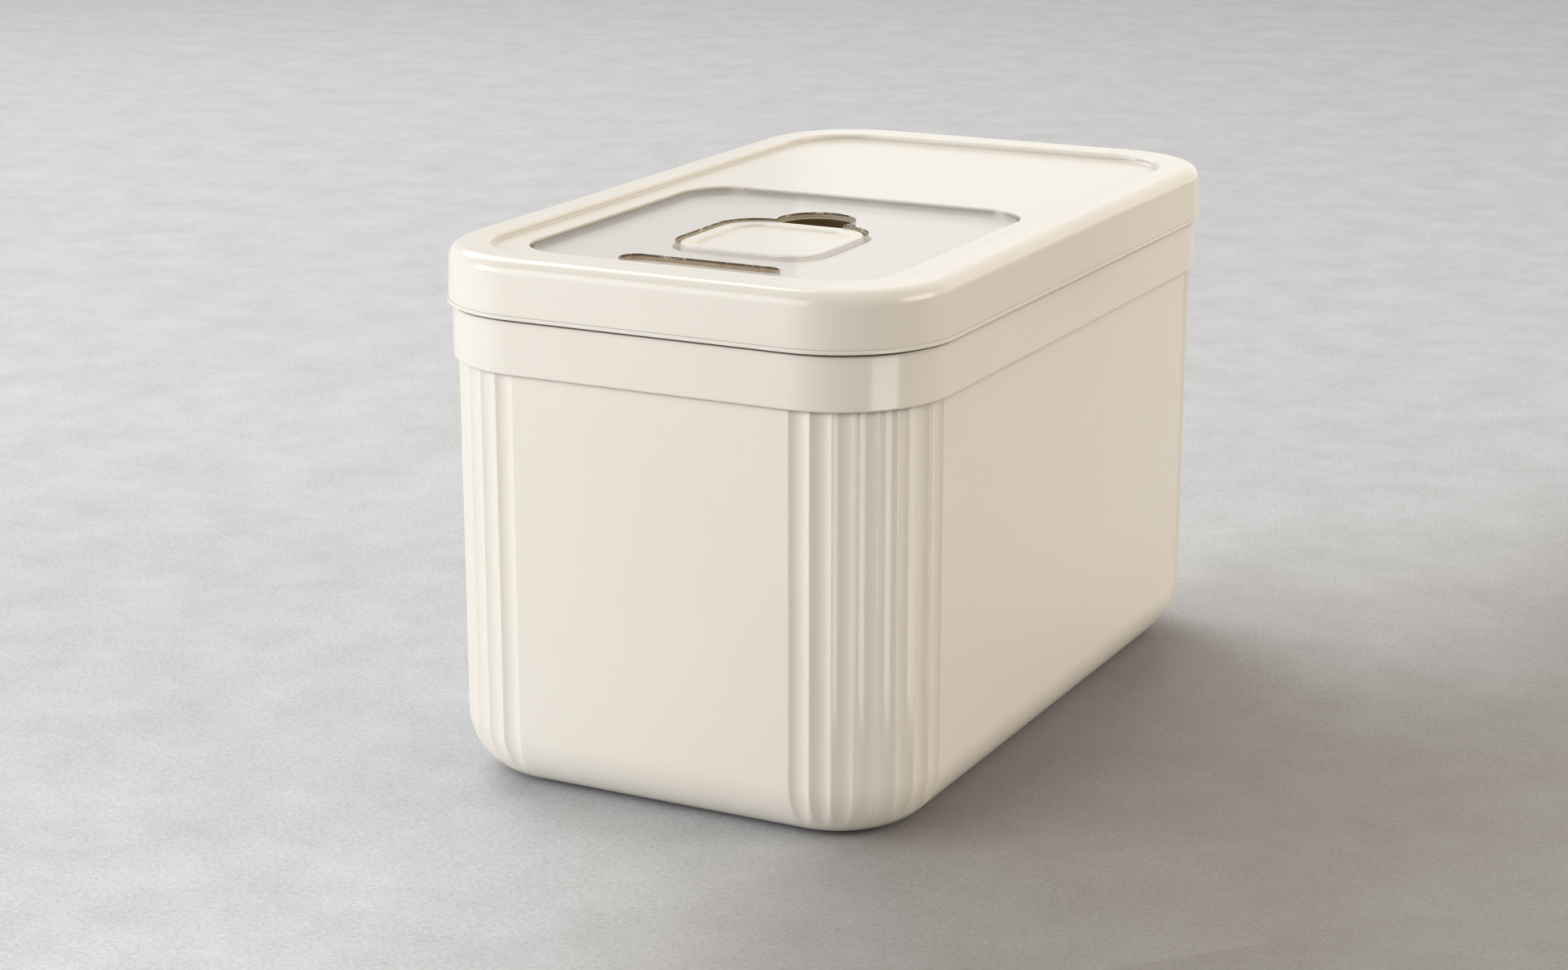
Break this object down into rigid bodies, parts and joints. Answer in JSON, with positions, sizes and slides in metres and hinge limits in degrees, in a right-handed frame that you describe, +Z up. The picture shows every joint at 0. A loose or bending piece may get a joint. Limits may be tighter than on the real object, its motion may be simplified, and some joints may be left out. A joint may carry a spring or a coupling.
{
  "type": "food storage bin",
  "caption": "Deep rectangular kitchen bin for dry food, with fluted corners, a lift-off sealed lid, a clear hinged scoop flap and a drying box in the flap.",
  "frame": {"origin": "middle of the footprint, on the surface that the bin stands on", "axes": "+X across the front to the right, +Y from the front to the back along the bin's length, +Z up"},
  "size_m": [0.2308, 0.3804, 0.2342],
  "materials": {
    "cream_plastic": "satin moulded, warm cream",
    "clear_plastic": "polished clear plastic",
    "soft_seal": "soft translucent seal"
  },
  "bodies": {
    "base": {"tub": "cream_plastic", "rim_collar": "cream_plastic"},
    "lid": {"lid_frame": "cream_plastic", "lid_gasket": "soft_seal"},
    "flap": {"flap_plate": "cream_plastic", "flap_window": "clear_plastic", "flap_gasket": "soft_seal", "dry_box_cup": "cream_plastic"},
    "dry_cap": {"dry_box_cap": "cream_plastic", "dry_box_seal": "soft_seal"}
  },
  "joints": [
    {"name": "lid_lift", "type": "slide", "parent": "base", "child": "lid", "axis": [0, 0, 1], "range_m": [0, 0.08]},
    {"name": "flap_hinge", "type": "hinge", "parent": "lid", "child": "flap", "pos_m": [0, 0.0187, 0.2303], "axis": [-1, 0, 0], "range_deg": [0, 95]},
    {"name": "dry_cap_lift", "type": "slide", "parent": "flap", "child": "dry_cap", "axis": [0, 0, 1], "range_m": [0, 0.03]}
  ]
}
